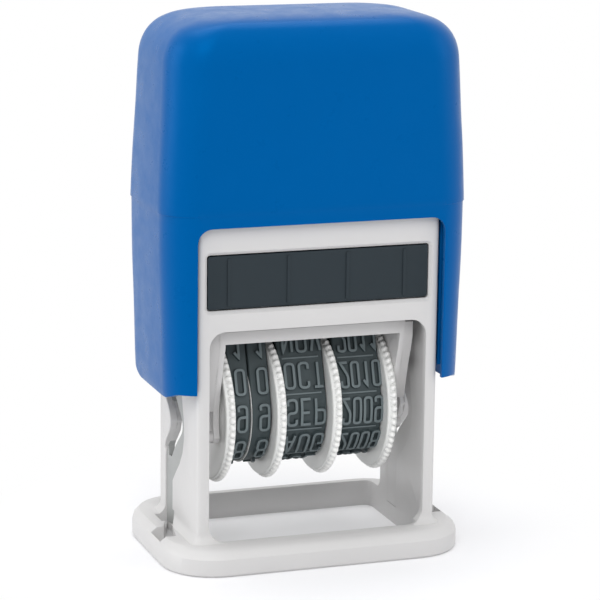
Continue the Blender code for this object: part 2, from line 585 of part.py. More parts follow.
def build_band(name, x0, x1, chars, mat, pivot):
    """Endless rubber date band; each raised block is the ground of one character."""
    total, sample = band_path(BAND_T)
    pitch = total / BAND_ROWS
    gap = (pitch - TYPE_HEIGHT) / 2
    marks = []
    for row in range(BAND_ROWS):
        for part, raised in ((0.0, False), (gap, True), (gap + TYPE_HEIGHT / 2, True),
                             (gap + TYPE_HEIGHT, False)):
            marks.append(((row - 0.5) * pitch + part, raised))
    margin, space = 0.32, 0.28
    width = (x1 - x0 - 2 * margin - (chars - 1) * space) / chars
    columns = [x0]
    for c in range(chars):
        left = x0 + margin + c * (width + space)
        columns += [left, left + width]
    columns.append(x1)
    bm = bmesh.new()
    outer, inner, outs = [], [], []
    for s, _ in marks:
        p, out = sample(s)
        q = p - BAND_T * out
        outer.append([bm.verts.new((x, p.x, p.y)) for x in columns])
        inner.append([bm.verts.new((x, q.x, q.y)) for x in (x0, x1)])
        outs.append(Vector((0.0, out.x, out.y)))
    type_faces = []
    count = len(marks)
    for i in range(count):
        j = (i + 1) % count
        for c in range(len(columns) - 1):
            face = bm.faces.new((outer[i][c], outer[i][c + 1], outer[j][c + 1], outer[j][c]))
            if marks[i][1] and c % 2 == 1:
                type_faces.append(face)
        bm.faces.new((inner[i][0], inner[j][0], inner[j][1], inner[i][1]))
        bm.faces.new((outer[i][0], outer[j][0], inner[j][0], inner[i][0]))
        bm.faces.new((outer[i][-1], inner[i][1], inner[j][1], outer[j][-1]))
    normal_at = {v: outs[i] for i, row in enumerate(outer) for v in row}
    bmesh.ops.recalc_face_normals(bm, faces=bm.faces)
    raised = bmesh.ops.extrude_face_region(bm, geom=type_faces)["geom"]
    bmesh.ops.delete(bm, geom=type_faces, context="FACES_ONLY")
    bm.verts.ensure_lookup_table()
    flat = [(v.co.copy(), n) for v, n in normal_at.items() if v.is_valid]
    for v in [g for g in raised if isinstance(g, bmesh.types.BMVert)]:
        near = min(flat, key=lambda item: (item[0] - v.co).length_squared)
        v.co += TYPE_H * near[1]
    return finish(bm, name, mat, (0, PIVOT_Y, PIVOT_Z), pivot)


def build_wheels(wheel_mat, band_mat, pivot):
    """Four thumbwheels and the four bands they turn."""
    names = ("day_tens", "day_units", "month", "year")
    hubs = ((DISC_X[0] + DISC_T, BAND_X[0][1]), (BAND_X[1][0], DISC_X[1]),
            (BAND_X[2][0], DISC_X[2]), (BAND_X[3][0], DISC_X[3]))
    for name, disc, hub in zip(names, DISC_X, hubs):
        build_wheel("thumbwheel_" + name, disc, hub[0], hub[1], wheel_mat, pivot)
    for name, span, chars in zip(names, BAND_X, BAND_CHARS):
        build_band("band_" + name, span[0], span[1], chars, band_mat, pivot)


def main():
    """Model the stamp in its rest pose."""
    clear_scene()
    blue = make_material("cap_blue_plastic", "005FAB", 0.32)
    pale = make_material("frame_pale_plastic", "DCDDDF", 0.42)
    grey = make_material("wheel_grey_plastic", "C9CCCB", 0.45)
    dark = make_material("tray_dark_plastic", "363E45", 0.45)
    felt = make_material("pad_felt", "16181C", 0.95)
    rubber = make_material("band_rubber", "454F51", 0.65)
    steel = make_material("steel_pin", "B4B6B8", 0.3, 1.0)

    build_frame(pale)
    tray_slide = make_empty("tray_slide_axis", 0, FRAME_FRONT, 40.0)
    build_tray(dark, felt, tray_slide)
    cap_slide = make_empty("cap_slide_axis", 0, 0, CAP_TOP)
    for piece in (build_cap(blue), build_yoke(pale)):
        piece.parent = cap_slide
        piece.location = (0, 0, 0)
    build_pivot_pins(steel, cap_slide)
    build_spring(steel)
    pivot = make_empty("carriage_pivot_axis", 0, PIVOT_Y, PIVOT_Z)
    build_carriage(pale, pivot)
    build_anvil(pale, pivot)
    build_axle(steel, pivot)
    build_wheels(grey, rubber, pivot)


main()
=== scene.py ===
"""Looks of a self-inking mini date stamp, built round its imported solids.

The file is laid out as an add-on and run as a script: one operator dresses or
builds each group of pieces, and one sets up the stage. Sizes that describe a
shape are in millimetres and are turned to metres when a mesh is finished.
"""
import math

import bmesh
import bpy
from mathutils import Matrix, Vector


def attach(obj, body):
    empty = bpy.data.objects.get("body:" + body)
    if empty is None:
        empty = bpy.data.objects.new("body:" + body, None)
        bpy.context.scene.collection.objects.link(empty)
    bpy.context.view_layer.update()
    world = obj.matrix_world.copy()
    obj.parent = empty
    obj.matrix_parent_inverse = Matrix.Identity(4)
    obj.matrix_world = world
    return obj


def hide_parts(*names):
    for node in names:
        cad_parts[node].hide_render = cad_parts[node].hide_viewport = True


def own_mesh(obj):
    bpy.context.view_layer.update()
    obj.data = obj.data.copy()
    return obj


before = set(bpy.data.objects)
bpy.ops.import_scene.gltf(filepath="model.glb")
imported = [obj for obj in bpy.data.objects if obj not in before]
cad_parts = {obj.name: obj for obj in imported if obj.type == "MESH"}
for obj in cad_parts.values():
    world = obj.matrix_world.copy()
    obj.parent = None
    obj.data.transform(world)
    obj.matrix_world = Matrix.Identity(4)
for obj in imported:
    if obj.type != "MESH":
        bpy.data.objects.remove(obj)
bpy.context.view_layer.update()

bl_info = {
    "name": "Mini date stamp",
    "version": (1, 0, 0),
    "blender": (4, 5, 0),
    "location": "3D View > Sidebar > Stamp",
    "description": "Dresses and details the pieces of a self-inking date stamp",
    "category": "Object",
}

MM = 0.001

# Carriage geometry in millimetres. It is the solids' own, apart from the bands: their places, the
# height of their type and the drum they run over were measured again for the looks
AXLE_Y, AXLE_Z = 3.4, 19.4
DISC_X = (-12.22, -4.81, 3.36, 11.54)
BAND_X = ((-10.75, -7.96), (-7.72, -4.93), (-3.34, 3.23), (4.83, 11.43))
BAND_NAMES = ("day_tens", "day_units", "month", "year")
BAND_ROWS, TYPE_HEIGHT = 13, 3.8
NOSE_Y, NOSE_Z, NOSE_HALF, NOSE_R = 4.15, 34.6, 2.1, 0.8
BAND_INNER = 6.95       # the drum that shows is smaller than the one the solids carry
PIVOT_Y, PIVOT_Z, FLIP_RADIUS = 3.5, 28.45, 4.95
CAP_TRAVEL = 20.0

SOFT_ANGLE = 32         # degrees; an edge that turns less is shaded smooth
JOIN_WITHIN = 0.002     # corners of an imported solid this near each other are one
FLAT_WITHIN = 0.3       # degrees; faces of a solid that turn less are one flat face
CUT_PAST = 0.5          # a cutting shape reaches this far past what it cuts


# Small helpers ----------------------------------------------------------------

def srgb(text):
    """Linear colour of an sRGB hex value."""
    channels = []
    for k in (0, 2, 4):
        c = int(text[k:k + 2], 16) / 255.0
        channels.append(c / 12.92 if c <= 0.04045 else ((c + 0.055) / 1.055) ** 2.4)
    return (*channels, 1.0)


def set_inputs(tree, node, inputs):
    """Link or fill inputs of a node: a socket is linked, any other value is its default."""
    for key, value in inputs.items():
        if isinstance(value, bpy.types.NodeSocket):
            tree.links.new(value, node.inputs[key])
        else:
            node.inputs[key].default_value = value


def add_node(tree, kind, inputs=None, **settings):
    """Add a node, set its properties, and set its inputs."""
    node = tree.nodes.new(kind)
    for key, value in settings.items():
        setattr(node, key, value)
    set_inputs(tree, node, inputs or {})
    return node


def per_mm(size):
    """Texture scale, in object space in metres, of a pattern that repeats every `size` mm."""
    return 1.0 / (size * MM)


def finish_mesh(bm, name, materials, smooth=35.0):
    """Turn a bmesh drawn in millimetres into an object in the row frame."""
    bmesh.ops.recalc_face_normals(bm, faces=bm.faces)
    bmesh.ops.scale(bm, vec=(MM, MM, MM), verts=bm.verts)
    mesh = bpy.data.meshes.new(name)
    bm.to_mesh(mesh)
    bm.free()
    for material in materials:
        mesh.materials.append(material)
    mesh.shade_smooth()
    mesh.set_sharp_from_angle(angle=math.radians(smooth))
    obj = bpy.data.objects.new(name, mesh)
    bpy.context.scene.collection.objects.link(obj)
    return obj


def rounded_rect(a0, a1, b0, b1, r, steps=8):
    """Corner-rounded rectangle as (a, b) points, counter-clockwise."""
    corners = ((a1 - r, b1 - r, 0), (a0 + r, b1 - r, 90),
               (a0 + r, b0 + r, 180), (a1 - r, b0 + r, 270))
    points = []
    for ca, cb, start in corners:
        for k in range(steps + 1):
            t = math.radians(start + 90.0 * k / steps)
            points.append((ca + r * math.cos(t), cb + r * math.sin(t)))
    return points


def loft(loops):
    """Closed body through loops of equal length, with flat ends."""
    bm = bmesh.new()
    rows = [[bm.verts.new(p) for p in loop] for loop in loops]
    count = len(rows[0])
    for low, high in zip(rows, rows[1:]):
        for i in range(count):
            j = (i + 1) % count
            bm.faces.new((low[i], low[j], high[j], high[i]))
    bm.faces.new(list(reversed(rows[0])))
    bm.faces.new(rows[-1])
    return bm


def prism(points, axis, lo, hi):
    """Extrude a flat outline along X (points are y, z), Y (x, z) or Z (x, y)."""
    place = {"X": lambda p, d: (d, p[0], p[1]),
             "Y": lambda p, d: (p[0], d, p[1]),
             "Z": lambda p, d: (p[0], p[1], d)}[axis]
    return loft([[place(p, d) for p in points] for d in (lo, hi)])


def curve_through(points, parts):
    """Smooth list of tuples through the given ones, with `parts` steps to each span."""
    out = []
    last = len(points) - 1
    for i in range(last):
        p0, p1, p2, p3 = (points[max(i - 1, 0)], points[i], points[i + 1],
                          points[min(i + 2, last)])
        for k in range(parts):
            t = k / parts
            out.append(tuple(
                0.5 * (2 * b + (c - a) * t + (2 * a - 5 * b + 4 * c - d) * t * t
                       + (3 * b - a - 3 * c + d) * t ** 3)
                for a, b, c, d in zip(p0, p1, p2, p3)))
    out.append(tuple(points[-1]))
    return out


def apply_modifiers(obj):
    """Make the evaluated mesh the object's own and drop its modifiers."""
    graph = bpy.context.evaluated_depsgraph_get()
    mesh = bpy.data.meshes.new_from_object(obj.evaluated_get(graph))
    obj.modifiers.clear()
    obj.data = mesh


def boolean(obj, tools, operation):
    """Cut or join shapes, one after another, and apply the result."""
    made = []
    for k, bm in enumerate(tools):
        tool = finish_mesh(bm, f"{obj.name}_tool_{k}", [])
        modifier = obj.modifiers.new(tool.name, "BOOLEAN")
        modifier.operation = operation
        modifier.solver = "EXACT"
        modifier.object = tool
        made.append(tool)
    apply_modifiers(obj)
    for tool in made:
        bpy.data.objects.remove(tool)


def round_edges(obj, width, segments, degrees):
    """Round the edges that turn by more than an angle; `width` is in metres."""
    edge = obj.modifiers.new("rounded edges", "BEVEL")
    edge.width = width
    edge.segments = segments
    edge.limit_method = "ANGLE"
    edge.angle_limit = math.radians(degrees)


def geometry_steps(obj, name, build):
    """Put the node group of that name on an object; `build` fills it the first time."""
    tree = bpy.data.node_groups.get(name)
    if not tree:
        tree = bpy.data.node_groups.new(name, "GeometryNodeTree")
        for way in ("INPUT", "OUTPUT"):
            tree.interface.new_socket("Geometry", in_out=way, socket_type="NodeSocketGeometry")
        start = add_node(tree, "NodeGroupInput")
        add_node(tree, "NodeGroupOutput", {0: build(tree, start.outputs[0])})
    obj.modifiers.new(name, "NODES").node_group = tree


def soften(tree, geometry):
    """Steps that shade smooth all but the edges that turn by more than the soft angle."""
    faces = add_node(tree, "GeometryNodeSetShadeSmooth", {"Geometry": geometry}, domain="FACE")
    angle = add_node(tree, "GeometryNodeInputMeshEdgeAngle")
    flat = add_node(tree, "FunctionNodeCompare",
                    {0: angle.outputs[0], 1: math.radians(SOFT_ANGLE)},
                    data_type="FLOAT", operation="LESS_THAN")
    edges = add_node(tree, "GeometryNodeSetShadeSmooth",
                     {"Geometry": faces.outputs[0], "Shade Smooth": flat.outputs[0]},
                     domain="EDGE")
    return edges.outputs[0]


def join_corners(tree, geometry):
    """Steps that merge the split corners of an imported solid."""
    bare = add_node(tree, "GeometryNodeRemoveAttribute",
                    {"Geometry": geometry, "Name": "custom_normal"})
    merged = add_node(tree, "GeometryNodeMergeByDistance",
                      {"Geometry": bare.outputs[0], "Distance": JOIN_WITHIN * MM})
    return merged.outputs[0]


def dress(node, material, edge_mm):
    """Give a carried-over solid its material, and round its edges by edge_mm."""
    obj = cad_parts[node]
    obj.data.materials.clear()
    obj.data.materials.append(material)
    geometry_steps(obj, "joined corners", join_corners)
    flat = obj.modifiers.new("flat faces", "DECIMATE")
    flat.decimate_type = "DISSOLVE"
    flat.angle_limit = math.radians(FLAT_WITHIN)
    round_edges(obj, edge_mm * MM, 2, SOFT_ANGLE)
    geometry_steps(obj, "soft shading", soften)


def settle(obj, body, slot, *nodes):
    """Let a built piece ride on its body and stand for its solids."""
    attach(obj, body)
    if nodes:
        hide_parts(*nodes)


# Materials --------------------------------------------------------------------

def principled(name):
    """New material with its node tree and shader."""
    material = bpy.data.materials.new(name)
    material.use_nodes = True
    tree = material.node_tree
    return material, tree, tree.nodes["Principled BSDF"]


def moulded_plastic(name, colour, shade, roughness, grain_mm, depth, spread=0.07,
                    sheen=0.5, facing=(1.0, 1.0, 1.0, 1.0)):
    """Injection-moulded plastic: fine tool grain, slow colour drift, uneven gloss.

    `facing` colours the sheen that faces the eye, and leaves the pale sheen of a surface that is
    seen edge on.
    """
    material, tree, shader = principled(name)
    place = add_node(tree, "ShaderNodeTexCoord").outputs["Object"]
    drift = add_node(tree, "ShaderNodeTexNoise",
                     {"Vector": place, "Scale": per_mm(14.0), "Detail": 3.0, "Roughness": 0.55})
    tint = add_node(tree, "ShaderNodeMix",
                    {"Factor": drift.outputs["Fac"], "A": colour, "B": shade},
                    data_type="RGBA")
    grain = add_node(tree, "ShaderNodeTexNoise",
                     {"Vector": place, "Scale": per_mm(grain_mm), "Detail": 2.0,
                      "Roughness": 0.6})
    scuffs = add_node(tree, "ShaderNodeTexNoise",
                      {"Vector": place, "Scale": per_mm(3.0), "Detail": 5.0, "Roughness": 0.7})
    gloss = add_node(tree, "ShaderNodeMapRange",
                     {"Value": scuffs.outputs["Fac"], "From Min": 0.3, "From Max": 0.7,
                      "To Min": roughness - spread, "To Max": roughness + spread})
    bump = add_node(tree, "ShaderNodeBump",
                    {"Height": grain.outputs["Fac"], "Strength": depth,
                     "Distance": 0.02 * MM})
    set_inputs(tree, shader, {
        "Base Color": tint.outputs["Result"], "Roughness": gloss.outputs["Result"],
        "Normal": bump.outputs["Normal"], "IOR": 1.5, "Specular IOR Level": sheen,
        "Specular Tint": facing})
    return material


# Settings ---------------------------------------------------------------------

def colour_property(name, description, text):
    """Colour that a user may change, from an sRGB hex value."""
    return bpy.props.FloatVectorProperty(
        name=name, description=description, default=srgb(text), size=4,
        subtype="COLOR", min=0.0, max=1.0)


def length_property(name, description, millimetres):
    """Length that a user may change, given in millimetres."""
    return bpy.props.FloatProperty(
        name=name, description=description, default=millimetres * MM, min=0.0,
        unit="LENGTH", precision=4)


class StampFinishes(bpy.types.PropertyGroup):
    """Colours of the stamp's materials."""
    cap: colour_property("Cap", "Blue plastic of the press cap", "00579A")
    cap_shade: colour_property("Cap shade", "Deeper drift of the cap's blue", "005496")
    body: colour_property("Frame", "Pale plastic of the frame", "D0CFCE")
    body_shade: colour_property("Frame shade", "Drift of the frame's pale grey", "CBCACA")
    wheel: colour_property("Thumbwheels", "Light plastic of the thumbwheels", "E6E7E5")
    tray: colour_property("Ink tray", "Dark plastic of the ink tray", "2A3339")
    felt: colour_property("Ink pad", "Inked felt of the pad", "16181C")
    rubber: colour_property("Bands", "Rubber of the date bands", "384447")
    # the type faces are paler than the rubber as a painted highlight on their tops
    print_face: colour_property("Type faces", "Rubbed faces of the raised type", "6C777A")


class StampSizes(bpy.types.PropertyGroup):
    """Sizes of the details that are added to the solids."""
    cap_edge: length_property("Cap edge", "Rounding of the cap's cut edges", 0.42)
    frame_edge: length_property("Frame edge", "Rounding of the frame's edges", 0.18)
    type_relief: length_property("Type relief", "Height of the raised characters", 0.48)


class StampStage(bpy.types.PropertyGroup):
    """Lights and camera."""
    lens: bpy.props.FloatProperty(
        name="Lens", description="Focal length on a 36 mm sensor, in millimetres",
        default=161.94, min=20.0)
    power: bpy.props.FloatProperty(
        name="Light power", description="Power that each soft light has its share of, in watts",
        default=1.1, min=0.0)


# Cap --------------------------------------------------------------------------

CAP_LOWER = (  # z, half width, half depth, corner radius
    (23.4, 20.4, 10.7, 4.5), (24.1, 20.95, 11.15, 4.8), (25.2, 21.3, 11.25, 5.0),
    (35.0, 21.55, 11.25, 5.0), (42.0, 21.78, 11.25, 5.0), (49.45, 21.85, 11.25, 5.0))
CAP_UPPER = (
    (49.5, 22.0, 11.27, 5.0), (56.0, 21.75, 11.25, 5.2), (62.0, 21.4, 11.2, 5.4),
    (68.0, 21.15, 11.05, 5.6), (70.5, 20.9, 10.9, 5.6), (72.3, 20.2, 10.5, 5.4),
    (73.6, 19.1, 9.9, 5.0), (74.5, 17.6, 9.2, 4.6), (75.1, 15.5, 8.2, 4.2),
    (75.45, 12.0, 6.3, 3.6), (75.57, 8.0, 3.8, 2.6), (75.6, 4.0, 1.7, 1.4),
    (75.6, 0.8, 0.4, 0.3))
CAP_INNER = (
    (20.0, 19.7, 10.35, 2.2), (62.0, 19.6, 10.35, 2.6), (69.3, 19.3, 10.3, 2.8),
    (71.6, 18.7, 9.5, 3.2), (73.0, 17.2, 8.2, 3.2), (73.7, 15.0, 6.4, 3.0))

# Side view of what is cut from the cap's foot, as (y, z)
CAP_FOOT = (
    (-14.0, 20.0), (14.0, 20.0), (14.0, 35.5), (9.6, 34.2), (8.9, 31.0), (8.3, 28.1),
    (7.7, 26.4), (6.7, 25.1), (5.2, 24.35), (3.2, 24.1), (-6.0, 24.1), (-7.8, 24.35),
    (-9.4, 24.95), (-14.0, 25.05))
CAP_WINDOWS = (  # y from, y to, then x from, x to, z from, z to and corner radius: front and rear
    (-14.0, -9.0, (-17.75, 17.75, 10.0, 47.8, 2.0)), (9.0, 14.0, (-16.0, 16.0, 10.0, 46.8, 3.0)))
CAP_CUT_X = (-24.0, 24.0)                               # past both sides of the cap
CAP_RIB_X, CAP_RIB_TOP = (17.75, 20.3), 47.0
CAP_RIBS = ((-9.3, -8.0, 26.5), (5.9, 7.2, 29.5))       # y from, y to, z of the foot
CAP_BOSS = (10.0, 2.0, 2.4, 71.2, 74.2)                 # x, y, radius, z from, z to


def cap_loops(levels, steps):
    """Horizontal loops of the cap."""
    return [[(x, y, z) for x, y in rounded_rect(-hx, hx, -hy, hy, min(r, hy - 0.01), steps)]
            for z, hx, hy, r in levels]


class STAMP_OT_cap(bpy.types.Operator):
    """Build the crowned press cap and dress its yoke"""
    bl_idname = "stamp.cap"
    bl_label = "Cap"

    def execute(self, context):
        finish = context.scene.stamp_finishes
        # satin mould face: broad soft highlights, blue where they face the eye
        blue = moulded_plastic("abs_satin_blue", finish.cap, finish.cap_shade, 0.32, 0.35, 0.08,
                               sheen=0.3, facing=srgb("00A0FF"))
        levels = curve_through(CAP_LOWER, 4) + curve_through(CAP_UPPER, 5)
        cap = finish_mesh(loft(cap_loops(levels, 10)), "press_cap", [blue])
        foot = [*CAP_FOOT[:2], *curve_through(CAP_FOOT[2:12], 4), *CAP_FOOT[12:]]
        cuts = [loft(cap_loops(curve_through(CAP_INNER, 2), 5)), prism(foot, "X", *CAP_CUT_X)]
        cuts += [prism(rounded_rect(*window, 8), "Y", y0, y1) for y0, y1, window in CAP_WINDOWS]
        boolean(cap, cuts, "DIFFERENCE")
        boolean(cap, self.ribs(), "UNION")
        round_edges(cap, context.scene.stamp_sizes.cap_edge, 3, 40)
        apply_modifiers(cap)
        cap.data.shade_smooth()
        cap.data.set_sharp_from_angle(angle=math.radians(SOFT_ANGLE))
        settle(cap, "cap", "cap_plastic", "cap_shell")
        dress("cap_yoke", bpy.data.materials["abs_matt_pale"], 0.12)
        return {"FINISHED"}

    def ribs(self):
        """Guide ribs down the inside of each wall, and the two bosses under the crown."""
        made = []
        x, y, radius, foot, top = CAP_BOSS
        turns = [2 * math.pi * k / 24 for k in range(24)]
        for side in (-1, 1):
            x0, x1 = sorted(side * edge for edge in CAP_RIB_X)
            for y0, y1, z0 in CAP_RIBS:
                made.append(prism([(x0, y0), (x1, y0), (x1, y1), (x0, y1)], "Z", z0, CAP_RIB_TOP))
            circle = [(side * x + radius * math.cos(t), y + radius * math.sin(t)) for t in turns]
            made.append(prism(circle, "Z", foot, top))
        return made


# Frame, tray and carriage -----------------------------------------------------

# Outline of the slot in a side wall, as (y, z)
SLOT = ((1.65, 2.7), (1.65, 9.6), (0.0, 11.3), (-1.7, 12.9), (-3.15, 14.9), (-3.8, 17.0),
        (-3.8, 19.0), (-3.3, 21.0), (-2.85, 22.6), (-2.0, 24.6), (-0.7, 25.8), (0.9, 26.2),
        (3.5, 26.3), (4.9, 25.6), (5.3, 24.3), (4.8, 22.9), (3.2, 21.3), (1.55, 20.0),
        (0.9, 18.45), (1.55, 16.9), (3.0, 15.5), (4.7, 13.9), (5.3, 12.4), (5.3, 2.7))
TRACK_X, PIN_WAY = (16.32, 16.46), 0.97  # guide track in a slot, half width of its groove
TRACK_RISEN, TRACK_REAR = 17.2, 4.0      # its x beside the groove, and everywhere past this y
ON_OUTLINE = 0.1                         # a corner this near the groove's outline is beside it
RIB_X = (16.9, 18.05)                    # raised rib along the rear side of a slot
RIB_FOOT_X, RIB_FOOT_Z, RIB_RUN_OUT = 17.25, 12.6, 3.4
# Outline of the rib as (y, z); the last points are curved through
RIB = ((5.7, RIB_FOOT_Z), (5.7, 25.9), (3.9, 26.0), (4.75, 25.4), (5.15, 24.3), (4.7, 22.9),
       (3.1, 21.4), (1.45, 20.0), (0.8, 18.45), (1.45, 16.9), (2.9, 15.45), (4.6, 13.9))


def pin_groove():
    """Outline, as (y, z) points, of the way that a flip pin takes down its side wall."""
    def centre(degrees):
        t = math.radians(degrees)
        return Vector((PIVOT_Y - FLIP_RADIUS * math.sin(t),
                       PIVOT_Z - CAP_TRAVEL * degrees / 180.0 - FLIP_RADIUS * math.cos(t)))

    def way(degrees):
        return (centre(degrees + 1) - centre(degrees - 1)).normalized()

    front, back = [], []
    for degrees in range(0, 181, 6):
        across = Vector((way(degrees).y, -way(degrees).x)) * PIN_WAY
        front.append(tuple(centre(degrees) + across))
        back.append(tuple(centre(degrees) - across))
    high = tuple(centre(0) - way(0) * PIN_WAY)
    low = tuple(centre(180) + way(180) * PIN_WAY)
    return [high, *front, low, *reversed(back)]


class STAMP_OT_frame(bpy.types.Operator):
    """Dress the moulded base frame and round its edges"""
    bl_idname = "stamp.frame"
    bl_label = "Base frame"

    def execute(self, context):
        finish = context.scene.stamp_finishes
        # matt mould face: wide, weak highlights, and no clear reflection
        pale = moulded_plastic("abs_matt_pale", finish.body, finish.body_shade, 0.42, 0.3, 0.12)
        dress("base_frame", pale, context.scene.stamp_sizes.frame_edge / MM)
        # the same plastic, darkened as painted shade, so the slot reads as shadowed
        grey = moulded_plastic("abs_matt_painted_slot_shade", srgb("A6A8A7"), srgb("A0A2A1"), 0.5, 0.3,
                               0.12)
        for side, name in ((-1, "left"), (1, "right")):
            self.track(side, f"guide_track_{name}", [grey, pale])
            self.rib(side, f"slot_rib_{name}", pale)
        return {"FINISHED"}

    def track(self, side, name, materials):
        """Thin guide track inside a slot, cut through along the way of the flip pin; its outward
        faces carry painted shade.
        """
        x0, x1 = sorted(side * x for x in TRACK_X)
        track = finish_mesh(prism(SLOT, "X", x0, x1), name, materials)
        boolean(track, [prism(pin_groove(), "X", x0 - CUT_PAST, x1 + CUT_PAST)], "DIFFERENCE")
        self.raise_groove(track, side)
        settle(track, "frame", "frame_plastic")

    def raise_groove(self, track, side):
        """Let the track rise from the front of its slot towards the groove of the pin."""
        groove = [Vector(p) for p in pin_groove()]
        middle = sum(TRACK_X) / 2 * MM
        bm = bmesh.new()
        bm.from_mesh(track.data)
        bmesh.ops.triangulate(bm, faces=bm.faces[:])
        for v in bm.verts:
            spot = Vector((v.co.y, v.co.z)) / MM
            beside = min((spot - p).length for p in groove) < ON_OUTLINE
            if abs(v.co.x) > middle and (beside or spot.x > TRACK_REAR):
                v.co.x = side * TRACK_RISEN * MM
        bm.normal_update()
        # faces turned inward keep the pale plastic; all others take the darker material, which is
        # painted shade
        for face in bm.faces:
            inward = face.normal.x * side < -0.5
            face.material_index = 1 if inward else 0
        bm.to_mesh(track.data)
        bm.free()
        track.data.shade_smooth()
        track.data.set_sharp_from_angle(angle=math.radians(40))

    def rib(self, side, name, material):
        """Raised rib along the rear of a slot, which runs out into the wall at its foot."""
        x0, x1 = sorted(side * x for x in RIB_X)
        bm = prism([*RIB[:3], *curve_through(RIB[3:], 4)], "X", x0, x1)
        for v in bm.verts:
            if abs(v.co.x) > RIB_X[0]:
                up = min(max((v.co.z - RIB_FOOT_Z) / RIB_RUN_OUT, 0.0), 1.0)
                v.co.x = side * (RIB_FOOT_X + (RIB_X[1] - RIB_FOOT_X) * up * (2.0 - up))
        rib = finish_mesh(bm, name, [material])
        round_edges(rib, 0.4 * MM, 4, 50)
        settle(rib, "frame", "frame_plastic")


PAD = (-13.0, 13.0, -4.8, 6.0)      # x from, x to, y from, y to
PAD_LEVELS = ((37.1, 0.35), (37.18, 0.12), (37.4, 0.0), (39.7, 0.0), (39.95, 0.15))  # z, inset


class STAMP_OT_tray(bpy.types.Operator):
    """Dress the ink tray and lay the felt pad in it"""
    bl_idname = "stamp.tray"
    bl_label = "Ink tray and pad"

    def execute(self, context):
        finish = context.scene.stamp_finishes
        # handled dark plastic: dull, with patches that shine a little more
        dark = moulded_plastic("abs_dark_tray", finish.tray, srgb("283136"), 0.5, 0.3, 0.2,
                               sheen=0.2)
        dress("ink_tray", dark, 0.08)
        x0, x1, y0, y1 = PAD
        loops = [[(x, y, z) for x, y in rounded_rect(x0 + d, x1 - d, y0 + d, y1 - d, 0.6, 5)]
                 for z, d in PAD_LEVELS]
        pad = finish_mesh(loft(loops), "felt_pad", [self.inked_felt(finish.felt)])
        settle(pad, "tray", "pad_felt", "ink_pad")
        return {"FINISHED"}

    def inked_felt(self, colour):
        """Felt soaked with ink: a deep nap that takes all the shine and leaves a faint fuzz."""
        felt, tree, shader = principled("inked_felt")
        place = add_node(tree, "ShaderNodeTexCoord").outputs["Object"]
        nap = add_node(tree, "ShaderNodeTexNoise",
                       {"Vector": place, "Scale": per_mm(0.4), "Detail": 6.0, "Roughness": 0.8})
        wet = add_node(tree, "ShaderNodeMix",
                       {"Factor": nap.outputs["Fac"], "A": colour, "B": srgb("24262C")},
                       data_type="RGBA")
        bump = add_node(tree, "ShaderNodeBump",
                        {"Height": nap.outputs["Fac"], "Strength": 0.8, "Distance": 0.1 * MM})
        set_inputs(tree, shader, {"Base Color": wet.outputs["Result"], "Roughness": 0.92,
                                  "Normal": bump.outputs["Normal"], "Sheen Weight": 0.3})
        return felt


class STAMP_OT_carriage(bpy.types.Operator):
    """Dress the flip-over carriage and its steel pins, axle, rings and spring"""
    bl_idname = "stamp.carriage"
    bl_label = "Carriage and steel parts"

    def execute(self, context):
        pale = bpy.data.materials["abs_matt_pale"]
        dress("carriage_frame", pale, 0.12)
        dress("type_anvil", pale, 0.1)
        steel = self.drawn_steel()
        for node in ("pivot_pin_left", "pivot_pin_right", "wheel_axle", "axle_ring_left",
                     "axle_ring_right"):
            dress(node, steel, 0.08)
        self.spring(steel)
        return {"FINISHED"}

    def drawn_steel(self):
        """Bright drawn steel: fine lines along the wire that break its highlight up."""
        steel, tree, shader = principled("bright_drawn_steel")
        place = add_node(tree, "ShaderNodeTexCoord").outputs["Object"]
        drawn = add_node(tree, "ShaderNodeMapping", {"Vector": place, "Scale": (0.1, 1.0, 1.0)})
        lines = add_node(tree, "ShaderNodeTexNoise",
                         {"Vector": drawn.outputs[0], "Scale": per_mm(0.25), "Detail": 4.0})
        gloss = add_node(tree, "ShaderNodeMapRange",
                         {"Value": lines.outputs["Fac"], "To Min": 0.18, "To Max": 0.38})
        bump = add_node(tree, "ShaderNodeBump",
                        {"Height": lines.outputs["Fac"], "Strength": 0.15,
                         "Distance": 0.01 * MM})
        set_inputs(tree, shader, {"Base Color": srgb("B9BBBD"), "Metallic": 1.0,
                                  "Roughness": gloss.outputs["Result"],
                                  "Normal": bump.outputs["Normal"]})
        return steel

    def spring(self, steel):
        """Copy the coil into a steel piece of its own that rides on the frame."""
        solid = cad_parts["return_spring"]
        coil = bpy.data.objects.new("coil_spring", solid.data.copy())
        bpy.context.scene.collection.objects.link(coil)
        coil.matrix_world = solid.matrix_world
        geometry_steps(coil, "joined corners", join_corners)
        geometry_steps(coil, "soft shading", soften)
        bpy.context.view_layer.update()
        apply_modifiers(coil)
        coil.data.materials.clear()
        coil.data.materials.append(steel)
        settle(coil, "frame", "steel", "return_spring")
        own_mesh(coil)


# Thumbwheels ------------------------------------------------------------------

DISC_T, DISC_R, KNURLS, HUB_R, BORE_R = 1.1, 10.6, 64, 6.6, 1.6
HUB_END = (-7.8, -7.76, -3.4, 4.8)
FLANGE_X, FLANGE_HALF, FLANGE_R = -7.84, 0.03, 8.05  # flange of the first drum, between two bands
PLATE_R = 9.9                                        # of a disc's flat sides
# Sides of a disc as (depth, radius): the open one with a shallow ring, and the one at the drum
PLATE = ((0.0, BORE_R), (0.0, 7.2), (0.12, 7.45), (0.12, 9.2), (0.0, 9.45), (0.0, PLATE_R))
DRUM = ((0.0, PLATE_R), (0.0, HUB_R))
BEAD_X, BEAD_HALF, BEAD_RISE = 0.9, 0.48, 0.56       # beads on the right of each rim
BEAD_GAP = 1.15                                      # pitch of the beads by their width
BEAD_STEPS, PER_BEAD = 8, 10                         # rings and points of the rim to one bead
BEAD_CROWN = 0.6                                     # share of a bead's height above which it is painted paler, as a painted highlight
